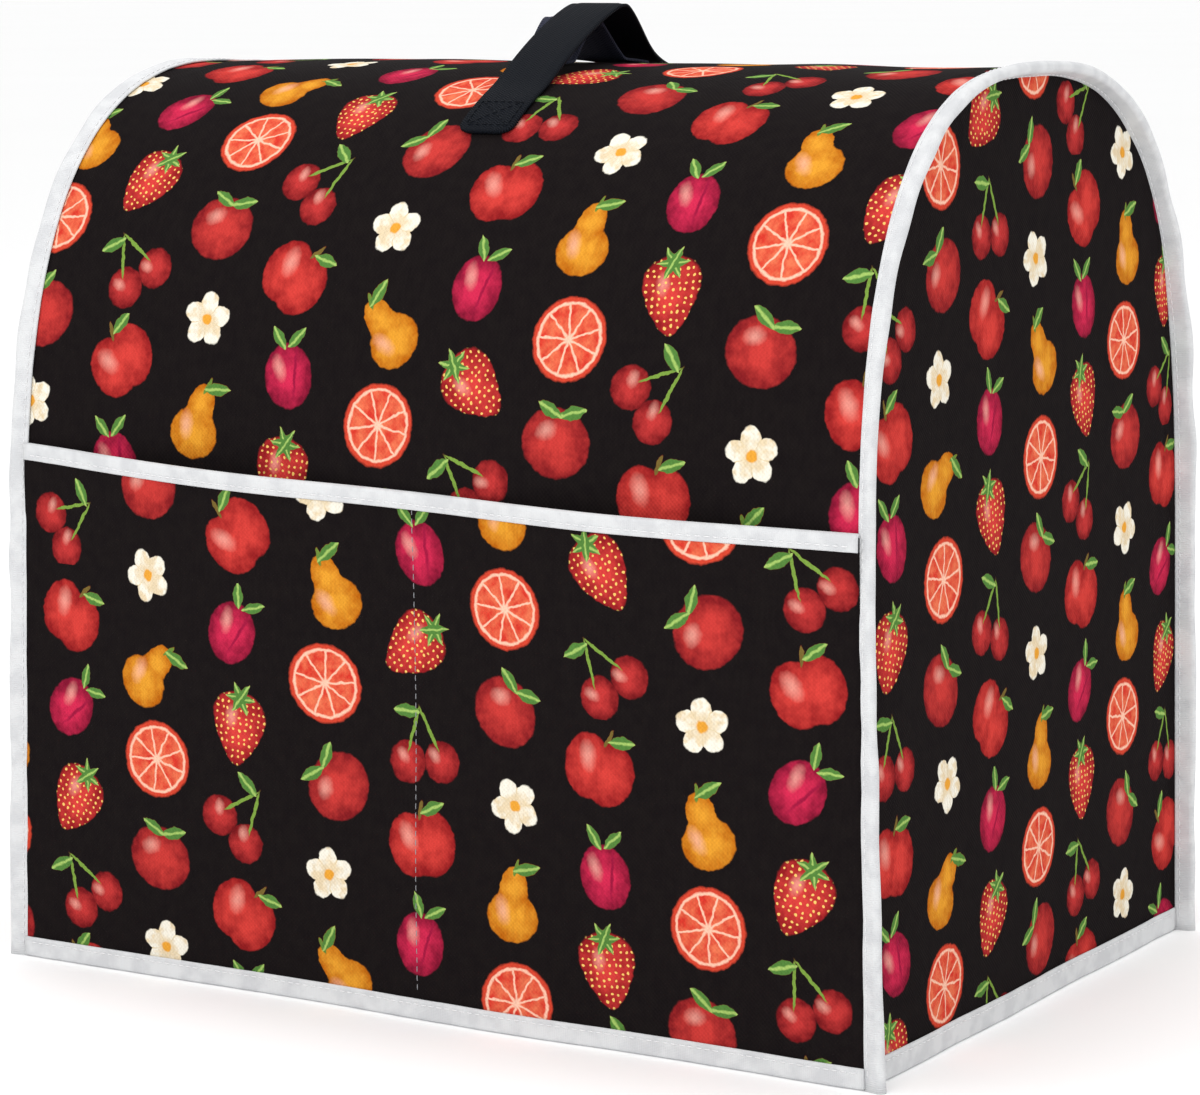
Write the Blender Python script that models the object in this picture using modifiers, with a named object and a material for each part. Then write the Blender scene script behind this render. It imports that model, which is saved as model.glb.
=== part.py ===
"""Fitted cloth cover for a stand mixer, standing on its bound hem.

One long panel runs from the front hem over the top to the back hem. An arched panel closes each side,
and the two are sewn together edge to edge, with the raw edges turned outwards into a bound flange.
A pocket panel, parted in two by a row of stitches, covers the lower front. Every loose edge is bound
with tape, and a webbing handle is sewn across the top.

The frame is in metres: X runs to the right along the front, -Y is the front and +Z is up.
The surface that the cover stands on is Z = 0.
Each cloth piece is a flat grid that a function lays into its place, and Solidify gives it its thickness.
"""

import math

import bmesh
import bpy
import numpy as np
from mathutils import Vector

COVER = "stand_mixer_cover"

# The cover's form, measured on the middle of the cloth
HEIGHT = 0.3675
HALF_DEPTH = 0.144
TOP_HALF_WIDTH = 0.187
HEM_FLARE = 0.008  # each side stands this much further out at the hem than along the top
ARCH_RISE = 0.200  # the walls are straight below this much under the top
ARCH_POWER = 2.75  # 2 is an ellipse, and more is squarer at the shoulders
BOX_SHIFT = 0.0048  # moves the cover back, so that its box with the bowed pockets is centred

# Cloth, tape and webbing
CLOTH = 0.0010
TAPE = 0.0010
WEBBING = 0.0016
GAP = 0.0003
EDGE_RAISE = TAPE + GAP  # a bound panel's lower edge stands inside its tape, this far off the surface
END_GAP = 0.0002  # from the end of a tape or of the pocket's cloth to the side seam's tape

# The bound flange along both side seams
FLANGE_TILT = math.radians(15)  # turned from straight sideways towards the outside of the long panel
SEAM_ALLOWANCE = 0.0063
FLANGE_LEG = 0.0066
FLANGE_ROOT = 0.0008
HEM_TAPE_HEIGHT = 0.0092
SIDE_HEM_END_GAP = 0.0034  # from a side hem tape to the middle of the front and back cloth

# The pockets
POCKET_HEIGHT = 0.2085
POCKET_TILT = 0.0048  # the mouth is this much higher at the left seam and lower at the right one
POCKET_SAG = 0.0024  # how far the mouth hangs below a straight line in its middle
POCKET_BOW = 0.0078  # how far each pocket's mouth stands away from the cover in its middle
POCKET_TAPE_HEIGHT = 0.0066
POCKET_EASE = 0.028  # the mouth's tape lifts the cloth off the panel over this height

# Gentle unevenness of standing cloth
FRONT_BELLY = 0.0018
SIDE_BELLY = 0.0025
HEM_WAVE = 0.0011

# The handle, measured on the middle of its webbing
STRAP_WIDTH = 0.025
STRAP_CENTRE = -0.003
STRAP_SKEW = 0.003  # the handle's front end lies this much to the right of straight
STRAP_CORNER = 0.005  # the ends' corners are rounded
STRAP_FRONT_END = -0.0920
STRAP_BACK_END = 0.0920
STRAP_BACK_LANDING = 0.058
STRAP_APEX_Y = 0.001
STRAP_APEX_RISE = 0.0240  # above the middle of the cloth along the top
STRAP_BEND = 0.004
STRAP_FRONT_SLOPE = 0.36  # rise over run just in front of the apex
STRAP_FRONT_CURVE = 2.7  # how fast that gets steeper towards the front, for each metre
STRAP_BACK_SLOPE = 0.76
STRAP_BACK_EASE = 11.0  # how fast the back arm flattens out, for each metre
STRAP_BACK_SKEW = 0.0127  # behind the apex it runs this much to the left
SEAT_GAP = 0.0004
SEAT = CLOTH / 2 + WEBBING / 2 + SEAT_GAP
UNDER_STRAP_SHIFT = -0.0135
UNDER_STRAP_DROP = 0.0055  # how far its apex lies under the handle's
UNDER_STRAP_SLOPE = 1.25
UNDER_STRAP_BACK_SLOPE = 1.10
UNDER_STRAP_FRONT_END = -0.0265
UNDER_STRAP_BACK_END = 0.0460

# How finely the pieces are divided
SIDE_ROWS = 17  # stations up each straight side and shoulder
TOP_ROWS = 18  # stations over the top between the shoulders
ROWS = 2 * SIDE_ROWS + TOP_ROWS
COLUMNS = 16  # across the long panel
POCKET_ROWS = 11
ROW_CROWDING = 1.6  # above 1, the pocket's rows lie closer towards its mouth
STRAP_ROWS = 42

COLOURS = {
    "printed_cloth": ((0.030, 0.022, 0.023, 1), 0.75),
    "white_tape": ((0.80, 0.80, 0.82, 1), 0.70),
    "webbing": ((0.010, 0.012, 0.018, 1), 0.60),
}


def clear_scene():
    for old in list(bpy.data.objects):
        bpy.data.objects.remove(old)


def material(name):
    colour, roughness = COLOURS[name]
    made = bpy.data.materials.get(name)
    if made is None:
        made = bpy.data.materials.new(name)
        made.use_nodes = True
        made.diffuse_color = colour
        shader = made.node_tree.nodes["Principled BSDF"]
        shader.inputs["Base Color"].default_value = colour
        shader.inputs["Roughness"].default_value = roughness
        shader.inputs["Metallic"].default_value = 0
    return made


def smooth(value):
    """0 to 1 with flat ends."""
    value = min(max(value, 0.0), 1.0)
    return value * value * (3 - 2 * value)


def arch_curve(samples=1600):
    """Depth and height along the long panel, from the front hem over the top to the back hem."""
    wall_top = HEIGHT - ARCH_RISE
    turn = math.pi * (1 - np.cos(np.linspace(0, math.pi, samples))) / 2
    depth = -HALF_DEPTH * np.sign(np.cos(turn)) * np.abs(np.cos(turn)) ** (2 / ARCH_POWER)
    height = wall_top + ARCH_RISE * np.abs(np.sin(turn)) ** (2 / ARCH_POWER)
    wall = np.linspace(0, wall_top, 40)[:-1]
    depth = np.concatenate([np.full(39, -HALF_DEPTH), depth, np.full(39, HALF_DEPTH)])
    height = np.concatenate([wall, height, wall[::-1]])
    return depth, height


ARCH_Y, ARCH_Z = arch_curve()
ARCH_S = np.concatenate([[0], np.cumsum(np.hypot(np.diff(ARCH_Y), np.diff(ARCH_Z)))])
ARCH_LENGTH = float(ARCH_S[-1])
ARCH_HEADING = np.unwrap(np.arctan2(np.gradient(ARCH_Z), np.gradient(ARCH_Y)))


def section(distance):
    """(y, z) of the long panel's middle and its outward normal, at a distance along it from the front hem."""
    heading = np.interp(distance, ARCH_S, ARCH_HEADING)
    y = np.interp(distance, ARCH_S, ARCH_Y) + BOX_SHIFT
    z = np.interp(distance, ARCH_S, ARCH_Z)
    return y, z, -math.sin(heading), math.cos(heading)


def sewing_stations():
    """Distances along the long panel at which every piece sewn to it has points, closer where it bends."""
    turned = np.concatenate([[0], np.cumsum(np.abs(np.diff(ARCH_HEADING)))])
    share = ARCH_S / ARCH_LENGTH + turned / turned[-1]
    places = np.interp(np.linspace(0, share[-1], ROWS + 1), share, ARCH_S)
    return places


STATIONS = sewing_stations()
PANEL_STATIONS = np.clip(STATIONS, EDGE_RAISE, ARCH_LENGTH - EDGE_RAISE)


def half_width(z):
    return TOP_HALF_WIDTH + HEM_FLARE * (1 - z / HEIGHT)


def long_belly(across, distance):
    """How far the long panel stands out from its plain form. across runs from -1 to 1 between the seams."""
    along = distance / ARCH_LENGTH
    belly = FRONT_BELLY * math.sin(2 * math.pi * along) ** 2 * (1 - 0.2 * math.sin(4 * across + 9 * along))
    near_hem = max(0.0, 1 - distance / 0.18) ** 2
    wave = HEM_WAVE * near_hem * math.sin(6.0 * across + 0.6)
    return (belly + wave) * (1 - across * across)


def on_long_panel(across, distance, lift=0.0):
    """A point of the long panel, or one that lies lift outside its middle."""
    y, z, out_y, out_z = section(distance)
    lift += long_belly(across, distance)
    return Vector((across * half_width(z), y + lift * out_y, z + lift * out_z))


def on_flange(side, distance, out, up):
    """A point in a side seam's flange: out along it, and up across it towards the long panel's outside."""
    y, z, out_y, out_z = section(distance)
    sideways = out * math.cos(FLANGE_TILT) - up * math.sin(FLANGE_TILT)
    outwards = out * math.sin(FLANGE_TILT) + up * math.cos(FLANGE_TILT)
    return Vector((side * (half_width(z) + sideways), y + outwards * out_y, z + outwards * out_z))


def cloth_piece(name, columns, rows, place, thickness, finish):
    """A grid of columns by rows faces, each point laid by place(column, row), made into a sheet."""
    grid = bmesh.new()
    bmesh.ops.create_grid(grid, x_segments=columns, y_segments=rows, size=1)
    for point in grid.verts:
        column = round((point.co.x + 1) / 2 * columns)
        row = round((point.co.y + 1) / 2 * rows)
        point.co = place(column, row)
    mesh = bpy.data.meshes.new(name)
    grid.to_mesh(mesh)
    grid.free()
    mesh.shade_smooth()
    piece = bpy.data.objects.new(name, mesh)
    bpy.data.collections[COVER].objects.link(piece)
    mesh.materials.append(material(finish))
    sheet = piece.modifiers.new("Thickness", "SOLIDIFY")
    sheet.thickness = thickness
    sheet.offset = 0
    sheet.use_even_offset = True
    sheet.use_quality_normals = True
    return piece


def long_panel():
    """Front, top and back in one length, with an allowance turned into the flange at each side."""

    def place(column, row):
        distance = PANEL_STATIONS[row]
        if column == 0:
            return on_flange(-1, distance, SEAM_ALLOWANCE, 0)
        if column == COLUMNS + 2:
            return on_flange(1, distance, SEAM_ALLOWANCE, 0)
        return on_long_panel(2 * (column - 1) / COLUMNS - 1, distance)

    return cloth_piece("main_panel", COLUMNS + 2, ROWS, place, CLOTH, "printed_cloth")


def side_seam_point(side, index):
    """Where a side panel bends outwards into its flange, one cloth inside the long panel's allowance."""
    return on_flange(side, PANEL_STATIONS[index], 0, -CLOTH - GAP)


def side_edge_point(side, place_in_rows):
    """The outer edge of a side panel's allowance, also between two stations."""
    low = min(int(place_in_rows), ROWS - 1)
    part = place_in_rows - low
    ends = [on_flange(side, PANEL_STATIONS[k], SEAM_ALLOWANCE, -CLOTH - GAP) for k in (low, low + 1)]
    return ends[0].lerp(ends[1], part)


def side_width(y, z):
    """How far a side panel's middle stands from the cover's middle plane, with a slight belly."""
    depth = (y - BOX_SHIFT) / HALF_DEPTH
    belly = SIDE_BELLY * math.sin(math.pi * min(z / HEIGHT, 1)) * max(0.0, 1 - depth * depth)
    return half_width(z) + (CLOTH + GAP) * math.sin(FLANGE_TILT) + belly


def side_field_point(side, column, row):
    """A point inside a side panel's arch, from the four curves round it (a Coons patch)."""
    u = column / TOP_ROWS
    v = row / SIDE_ROWS
    low_front = side_seam_point(side, 0)
    low_back = side_seam_point(side, ROWS)
    shoulder_front = side_seam_point(side, SIDE_ROWS)
    shoulder_back = side_seam_point(side, ROWS - SIDE_ROWS)
    across = low_front.lerp(low_back, u) * (1 - v) + side_seam_point(side, SIDE_ROWS + column) * v
    upright = side_seam_point(side, row) * (1 - u) + side_seam_point(side, ROWS - row) * u
    corners = low_front.lerp(low_back, u) * (1 - v) + shoulder_front.lerp(shoulder_back, u) * v
    point = across + upright - corners
    on_seam = column in (0, TOP_ROWS) or row == SIDE_ROWS
    if not on_seam:
        point.x = side * side_width(point.y, point.z)
    return point


def side_panel(name, side):
    """The arched end. Its grid's outermost faces are the allowance, round the arch but not along the hem."""
    last = TOP_ROWS + 2

    def place(column, row):
        if row <= SIDE_ROWS and 0 < column < last:
            return side_field_point(side, column - 1, row)
        if row > SIDE_ROWS:
            beside = {0: 0.0, 1: 0.25, last - 1: TOP_ROWS - 0.25, last: float(TOP_ROWS)}
            return side_edge_point(side, SIDE_ROWS + beside.get(column, column - 1.0))
        along = SIDE_ROWS - 0.25 if row == SIDE_ROWS else float(row)
        return side_edge_point(side, along if column == 0 else ROWS - along)

    return cloth_piece(name, last, SIDE_ROWS + 1, place, CLOTH, "printed_cloth")


def pocket_top(across):
    """Distance from the front hem to the pocket's upper edge."""
    return POCKET_HEIGHT - POCKET_TILT * across - POCKET_SAG * (1 - across * across)


def pocket_lift(across, height_share, top):
    """The pocket cloth's distance from the long panel's middle. It bows in two, parted by the stitches."""
    resting = CLOTH + GAP
    held_off = 2 * (GAP + CLOTH / 2) + TAPE
    below_mouth = top * (1 - height_share)
    resting += (held_off - resting) * smooth(1 - (below_mouth - POCKET_TAPE_HEIGHT) / POCKET_EASE)
    return resting + POCKET_BOW * min(height_share, 1) * math.sin(math.pi * across) ** 2


def pocket_width_share(z):
    """The pocket stops just short of the side bindings."""
    return 1 - END_GAP / half_width(z)


def on_pocket(column, height_share, lift=0.0):
    """A point of the pocket cloth, or one that lies lift outside its middle."""
    across = 2 * column / COLUMNS - 1
    top = pocket_top(across)
    distance = EDGE_RAISE + (top - EDGE_RAISE) * height_share
    lift += pocket_lift(across, height_share, top)
    return on_long_panel(across * pocket_width_share(distance), distance, lift)


def pocket_panel():
    """One cloth over the lower front, held along both seams, the hem and a row of stitches in its middle.

    Its last row of faces is the strip inside the mouth's tape, and the rows below crowd towards that.
    """

    def place(column, row):
        length = pocket_top(2 * column / COLUMNS - 1) - EDGE_RAISE
        if row == POCKET_ROWS:
            return on_pocket(column, 1)
        below_tape = (1 - row / (POCKET_ROWS - 1)) ** ROW_CROWDING
        drop = POCKET_TAPE_HEIGHT + (length - POCKET_TAPE_HEIGHT) * below_tape
        return on_pocket(column, 1 - drop / length)

    return cloth_piece("pocket_panel", COLUMNS, POCKET_ROWS, place, CLOTH, "printed_cloth")


def pocket_binding():
    """Tape folded over the pockets' mouth."""
    half = CLOTH / 2 + GAP + TAPE / 2
    crown = GAP + half
    leg = -POCKET_TAPE_HEIGHT
    # distance out of the cloth's middle, and height above its upper edge
    fold = [(-half, leg), (-half, GAP), (0.0, crown), (half, GAP), (half, leg)]

    def place(column, row):
        out, height = fold[row]
        top = pocket_top(2 * column / COLUMNS - 1)
        return on_pocket(column, 1 + height / (top - EDGE_RAISE), out)

    return cloth_piece("pocket_binding", COLUMNS, len(fold) - 1, place, TAPE, "white_tape")


def edge_binding(name, side):
    """Tape folded over a side seam's flange, up the front, over the top and down the back."""
    middle = -(CLOTH + GAP) / 2
    half = CLOTH + GAP / 2 + GAP + TAPE / 2
    turn_steps = 4
    turn = [math.radians(90 - 180 * k / turn_steps) for k in range(turn_steps + 1)]
    fold = [(FLANGE_ROOT, middle + half)]
    fold += [(FLANGE_LEG + half * math.cos(a), middle + half * math.sin(a)) for a in turn]
    fold += [(FLANGE_ROOT, middle - half)]

    def place(column, row):
        out, up = fold[column]
        return on_flange(side, STATIONS[row], out, up)

    return cloth_piece(name, len(fold) - 1, ROWS, place, TAPE, "white_tape")


def hem_fold():
    """The folded hem tape's section as (distance out of the cloth's middle, height), with a flat foot."""
    half = CLOTH / 2 + GAP + TAPE / 2
    return [(-half, HEM_TAPE_HEIGHT), (-half, TAPE / 2), (half, TAPE / 2), (half, HEM_TAPE_HEIGHT)]


def long_hem_binding(name, back):
    """Tape folded over the front or the back hem. In front it holds the pocket's cloth too."""
    fold = hem_fold()
    inner_end = END_GAP + 2 * TAPE  # the inner leg ends before the side hem's inner leg
    end_gap = (inner_end, inner_end, END_GAP, END_GAP)

    def place(column, row):
        out, height = fold[row]
        across = 2 * column / COLUMNS - 1
        across *= 1 - end_gap[row] / half_width(0)
        distance = ARCH_LENGTH - height if back else height
        if out > 0 and not back:
            top = pocket_top(across)
            out += pocket_lift(across, max(0.0, height - EDGE_RAISE) / (top - EDGE_RAISE), top)
        return on_long_panel(across, distance, out)

    return cloth_piece(name, COLUMNS, len(fold) - 1, place, TAPE, "white_tape")


def side_hem_binding(name, side):
    """Tape folded over a side panel's hem, between the two side seams' bindings."""
    fold = hem_fold()
    end_gap = SIDE_HEM_END_GAP

    def place(column, row):
        out, height = fold[row]
        y = (2 * column / TOP_ROWS - 1) * (HALF_DEPTH - end_gap) + BOX_SHIFT
        return Vector((side * (side_width(y, height) + out), y, height))

    return cloth_piece(name, TOP_ROWS, len(fold) - 1, place, TAPE, "white_tape")


def top_height(y, lift):
    """Height of a line that lies lift outside the long panel's middle, over a depth y."""
    distance = float(np.interp(y - BOX_SHIFT, ARCH_Y, ARCH_S))
    slope = math.tan(np.interp(distance, ARCH_S, ARCH_HEADING))
    lift += long_belly(STRAP_CENTRE / TOP_HALF_WIDTH, distance)
    return float(np.interp(y - BOX_SHIFT, ARCH_Y, ARCH_Z)) + lift * math.hypot(1, slope)


def free_height(y, rise, front_slope, front_curve, back_slope):
    """Height of a strap that climbs in an arc to a soft bend and comes down again behind it."""
    beyond = y - STRAP_APEX_Y
    run = math.hypot(beyond, STRAP_BEND) - STRAP_BEND
    if beyond < 0:
        drop = front_slope * run + front_curve * run * run
    else:
        drop = back_slope * run / (1 + STRAP_BACK_EASE * run)
    return HEIGHT + rise - drop


def upper_of(first, second, softness=0.0012):
    """The larger of two heights, with the corner between them rounded."""
    return (first + second + math.hypot(first - second, softness)) / 2


def strap(name, front_end, back_end, height_at, centre_at):
    """A length of webbing over the top, from front_end to back_end in depth."""
    fine = np.linspace(front_end, back_end, 800)
    heights = np.array([height_at(y) for y in fine])
    lengths = np.concatenate([[0], np.cumsum(np.hypot(np.diff(fine), np.diff(heights)))])
    even = np.interp(np.linspace(0, lengths[-1], STRAP_ROWS + 1), lengths, fine)

    def place(column, row):
        y = even[row]
        to_end = min(lengths[-1] * row / STRAP_ROWS, lengths[-1] * (1 - row / STRAP_ROWS), STRAP_CORNER)
        rounding = STRAP_CORNER - math.sqrt(STRAP_CORNER**2 - (STRAP_CORNER - to_end) ** 2)
        return Vector((centre_at(y) + (column - 1) * (STRAP_WIDTH / 2 - rounding), y, height_at(y)))

    return cloth_piece(name, 2, STRAP_ROWS, place, WEBBING, "webbing")


def handle_strap():
    """The carrying strap. Its ends lie on the slopes in front and behind, a little askew."""

    def height_at(y):
        free = free_height(y, STRAP_APEX_RISE, STRAP_FRONT_SLOPE, STRAP_FRONT_CURVE, STRAP_BACK_SLOPE)
        return upper_of(top_height(y, SEAT), free)

    def centre_at(y):
        skewed = STRAP_SKEW * smooth(y / STRAP_FRONT_END) - STRAP_BACK_SKEW * smooth(y / STRAP_BACK_LANDING)
        return STRAP_CENTRE + skewed

    return strap("handle_strap", STRAP_FRONT_END, STRAP_BACK_END, height_at, centre_at)


def under_strap():
    """The shorter strap behind and below the handle, sewn down close to the ridge in front."""

    def height_at(y):
        rise = STRAP_APEX_RISE - UNDER_STRAP_DROP
        free = free_height(y, rise, UNDER_STRAP_SLOPE, 0.0, UNDER_STRAP_BACK_SLOPE)
        return upper_of(top_height(y, SEAT), free)

    def centre_at(_):
        return STRAP_CENTRE + UNDER_STRAP_SHIFT

    return strap("handle_under_strap", UNDER_STRAP_FRONT_END, UNDER_STRAP_BACK_END, height_at, centre_at)


def build():
    clear_scene()
    cover = bpy.data.collections.get(COVER) or bpy.data.collections.new(COVER)
    if cover.name not in bpy.context.scene.collection.children:
        bpy.context.scene.collection.children.link(cover)
    long_panel()
    for name, side in (("left", -1), ("right", 1)):
        side_panel(f"side_panel_{name}", side)
        edge_binding(f"edge_binding_{name}", side)
        side_hem_binding(f"hem_binding_{name}", side)
    pocket_panel()
    pocket_binding()
    long_hem_binding("hem_binding_front", back=False)
    long_hem_binding("hem_binding_back", back=True)
    handle_strap()
    under_strap()


build()
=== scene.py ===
"""Looks of a fitted cover for a stand mixer: printed canvas bound with white tape, and a webbing handle.

The cover is drawn from the same named sizes as its solids, in metres: X runs to the right along the
front, -Y is the front and +Z is up. Each piece of cloth is a finer sheet that follows its solid, has the
small unevenness of sewn canvas and carries the coordinates of its flat cut, which its print and weave
follow.
"""

import math

import bpy
import numpy as np
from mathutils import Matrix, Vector, noise


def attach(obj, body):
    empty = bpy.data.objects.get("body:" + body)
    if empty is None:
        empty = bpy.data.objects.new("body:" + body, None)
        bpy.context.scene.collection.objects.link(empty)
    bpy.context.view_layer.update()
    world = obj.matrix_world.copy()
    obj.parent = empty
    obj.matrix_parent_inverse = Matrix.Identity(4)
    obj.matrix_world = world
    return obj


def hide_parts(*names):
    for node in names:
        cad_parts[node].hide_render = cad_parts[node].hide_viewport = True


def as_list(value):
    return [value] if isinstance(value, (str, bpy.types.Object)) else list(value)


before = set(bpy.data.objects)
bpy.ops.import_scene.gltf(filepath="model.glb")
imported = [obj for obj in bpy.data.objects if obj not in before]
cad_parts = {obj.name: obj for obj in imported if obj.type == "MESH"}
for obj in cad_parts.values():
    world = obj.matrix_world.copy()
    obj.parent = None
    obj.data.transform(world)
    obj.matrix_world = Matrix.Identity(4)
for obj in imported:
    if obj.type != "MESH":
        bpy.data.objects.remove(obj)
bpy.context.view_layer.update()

# The cover's form, measured on the middle of the cloth
HEIGHT = 0.3675
HALF_DEPTH = 0.144
TOP_HALF_WIDTH = 0.187
HEM_FLARE = 0.008
ARCH_RISE = 0.200
ARCH_POWER = 2.75
BOX_SHIFT = 0.0048

# Cloth, tape and webbing
CLOTH = 0.0010
TAPE = 0.0010
WEBBING = 0.0016
GAP = 0.0003
EDGE_RAISE = TAPE + GAP
END_LAP = 0.0006  # how far hems and pocket run in under the side seams' tapes

# The bound flange along both side seams
FLANGE_TILT = math.radians(15)
SEAM_ALLOWANCE = 0.0063
FLANGE_LEG = 0.0066
FLANGE_ROOT = 0.0008
HEM_TAPE_HEIGHT = 0.0080
SIDE_HEM_TAPE_HEIGHT = 0.0096
SIDE_HEM_END_GAP = 0.0034

# The right front flange is pressed in beside the pocket, and the left end of the top sags
PRESSED_AT = 0.185  # up from the hem
PRESSED_HALF = 0.245
PRESSED_SHARE = 0.42
TOP_SAG = 0.0018
TOP_SAG_AT = 0.475  # along the panel from the front hem
TOP_SAG_LENGTH = 0.050
TOP_SINK = 0.40  # how much further the flange sinks there, as a share of its width

# The pockets
POCKET_HEIGHT = 0.2085
POCKET_TILT = 0.0048
POCKET_SAG = 0.0024
POCKET_BOW = 0.0078
POCKET_TAPE_HEIGHT = 0.0048
POCKET_EASE = 0.028

# Gentle unevenness of standing cloth
FRONT_BELLY = 0.0018
SIDE_BELLY = 0.0025
HEM_WAVE = 0.0011
BROAD_SWELL = 0.0016
FINE_SWELL = 0.0005
SIDE_FINE_SWELL = 0.0004
PUCKER = 0.00055
POCKET_FOLD = 0.0011
DIVIDER_RIPPLE = 0.0004
TAPE_SWELL = 0.00022

# The handle, measured on the middle of its webbing
STRAP_WIDTH = 0.025
STRAP_CENTRE = -0.003
STRAP_SKEW = 0.003
STRAP_CORNER = 0.005
STRAP_FRONT_END = -0.0920
STRAP_BACK_END = 0.0920
STRAP_BACK_LANDING = 0.058
STRAP_APEX_Y = 0.001
STRAP_APEX_RISE = 0.0240
STRAP_BEND = 0.004
STRAP_FRONT_SLOPE = 0.36
STRAP_FRONT_CURVE = 2.7
STRAP_BACK_SLOPE = 0.76
STRAP_BACK_EASE = 11.0
STRAP_BACK_SKEW = 0.0127
SEAT_GAP = 0.0004
SEAT = CLOTH / 2 + WEBBING / 2 + SEAT_GAP
UNDER_STRAP_SHIFT = -0.0135
UNDER_STRAP_DROP = 0.0055
UNDER_STRAP_SLOPE = 1.25
UNDER_STRAP_BACK_SLOPE = 1.10
UNDER_STRAP_FRONT_END = -0.0265
UNDER_STRAP_BACK_END = 0.0460

# Where the ends and the pocket are cut from the printed cloth, which sets where their motifs lie
SIDE_CUT_ACROSS = 0.61
SIDE_CUTS_APART = 0.37
SIDE_CUT_UP = 0.013
POCKET_CUT_ACROSS = 0.0185
POCKET_CUT_UP = 0.257

# How finely the sheets are divided
SIDE_ROWS = 102
TOP_ROWS = 108
ROWS = 2 * SIDE_ROWS + TOP_ROWS
COLUMNS = 120
POCKET_ROWS = 72
STRAP_ROWS = 150

# Sewing: length of a stitch and distance from one to the next
STITCH = 0.0026
STITCH_PITCH = 0.0036
STITCH_RADIUS = 0.00028
SEAM_STITCH_RADIUS = 0.00022
DIVIDER_STITCH_RADIUS = 0.00019
STITCH_INSET = 0.0016  # from the edge of a tape
ROW_END = 0.985  # where the rows along the front stop, as a share of the half width
SIDE_ROW_END = 0.136  # where the rows along the side hems stop

# The sewn box at each end of the handle: lengths from its end, and shares of its half width
BOX_NEAR = 0.004
BOX_FAR = 0.019
BOX_SHARE = 0.76
CROSS_SHARE = 0.70


# Form: where each point of the cover lies


def smooth(value):
    """0 to 1 with flat ends."""
    value = min(max(value, 0.0), 1.0)
    return value * value * (3 - 2 * value)


def arch_curve(samples=1600):
    """Depth and height along the long panel, from the front hem over the top to the back hem."""
    wall_top = HEIGHT - ARCH_RISE
    turn = math.pi * (1 - np.cos(np.linspace(0, math.pi, samples))) / 2
    depth = -HALF_DEPTH * np.sign(np.cos(turn)) * np.abs(np.cos(turn)) ** (2 / ARCH_POWER)
    height = wall_top + ARCH_RISE * np.abs(np.sin(turn)) ** (2 / ARCH_POWER)
    wall = np.linspace(0, wall_top, 40)[:-1]
    depth = np.concatenate([np.full(39, -HALF_DEPTH), depth, np.full(39, HALF_DEPTH)])
    height = np.concatenate([wall, height, wall[::-1]])
    return depth, height


ARCH_Y, ARCH_Z = arch_curve()
ARCH_S = np.concatenate([[0], np.cumsum(np.hypot(np.diff(ARCH_Y), np.diff(ARCH_Z)))])
ARCH_LENGTH = float(ARCH_S[-1])
ARCH_HEADING = np.unwrap(np.arctan2(np.gradient(ARCH_Z), np.gradient(ARCH_Y)))


def section(distance):
    """(y, z) of the long panel's middle and its outward normal, at a distance from the front hem."""
    heading = np.interp(distance, ARCH_S, ARCH_HEADING)
    y = np.interp(distance, ARCH_S, ARCH_Y) + BOX_SHIFT
    z = np.interp(distance, ARCH_S, ARCH_Z)
    return float(y), float(z), -math.sin(heading), math.cos(heading)


def sewing_stations():
    """Distances along the long panel at which pieces sewn to it have points, closer where it bends."""
    turned = np.concatenate([[0], np.cumsum(np.abs(np.diff(ARCH_HEADING)))])
    share = ARCH_S / ARCH_LENGTH + turned / turned[-1]
    return np.interp(np.linspace(0, share[-1], ROWS + 1), share, ARCH_S)


STATIONS = sewing_stations()
PANEL_STATIONS = np.clip(STATIONS, EDGE_RAISE, ARCH_LENGTH - EDGE_RAISE)


def half_width(z):
    return TOP_HALF_WIDTH + HEM_FLARE * (1 - z / HEIGHT)


def drawn_up(along, edge):
    """Puckers that a seam's stitches draw up in the cloth beside it. edge is the distance from it."""
    strength = math.exp(-(((edge - 0.009) / 0.008) ** 2))
    return PUCKER * strength * noise.noise(Vector((along / 0.012, 5.3, edge / 0.03)))


def unevenness(across, distance):
    """Small swellings and hollows of sewn canvas. It stays calm under the handle."""
    x = across * TOP_HALF_WIDTH
    broad = BROAD_SWELL * noise.noise(Vector((x / 0.085, distance / 0.110, 3.1)))
    fine = FINE_SWELL * noise.noise(Vector((x / 0.030, distance / 0.042, 8.4)))
    edge = (1 - abs(across)) * TOP_HALF_WIDTH
    seam = drawn_up(distance + across, edge)
    ridge = (distance - ARCH_LENGTH / 2) / 0.13
    handle = math.exp(-((x / 0.035) ** 2) - ridge * ridge)
    return (broad + fine) * smooth(edge / 0.03) * (1 - handle) + seam * smooth(edge / 0.004)


def top_sag(across, distance):
    """The top sinks a little where it nears the left seam."""
    near_seam = smooth((-across - 0.85) / 0.15)
    return TOP_SAG * near_seam * math.exp(-(((distance - TOP_SAG_AT) / TOP_SAG_LENGTH) ** 2))


def flange_reach(side, distance):
    """Share of its width at which a flange stands out."""
    away = abs(distance - PRESSED_AT) / PRESSED_HALF
    if side < 0 or away >= 1:
        return 1.0
    return 1 - PRESSED_SHARE * math.cos(math.pi / 2 * away) ** 2


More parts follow.
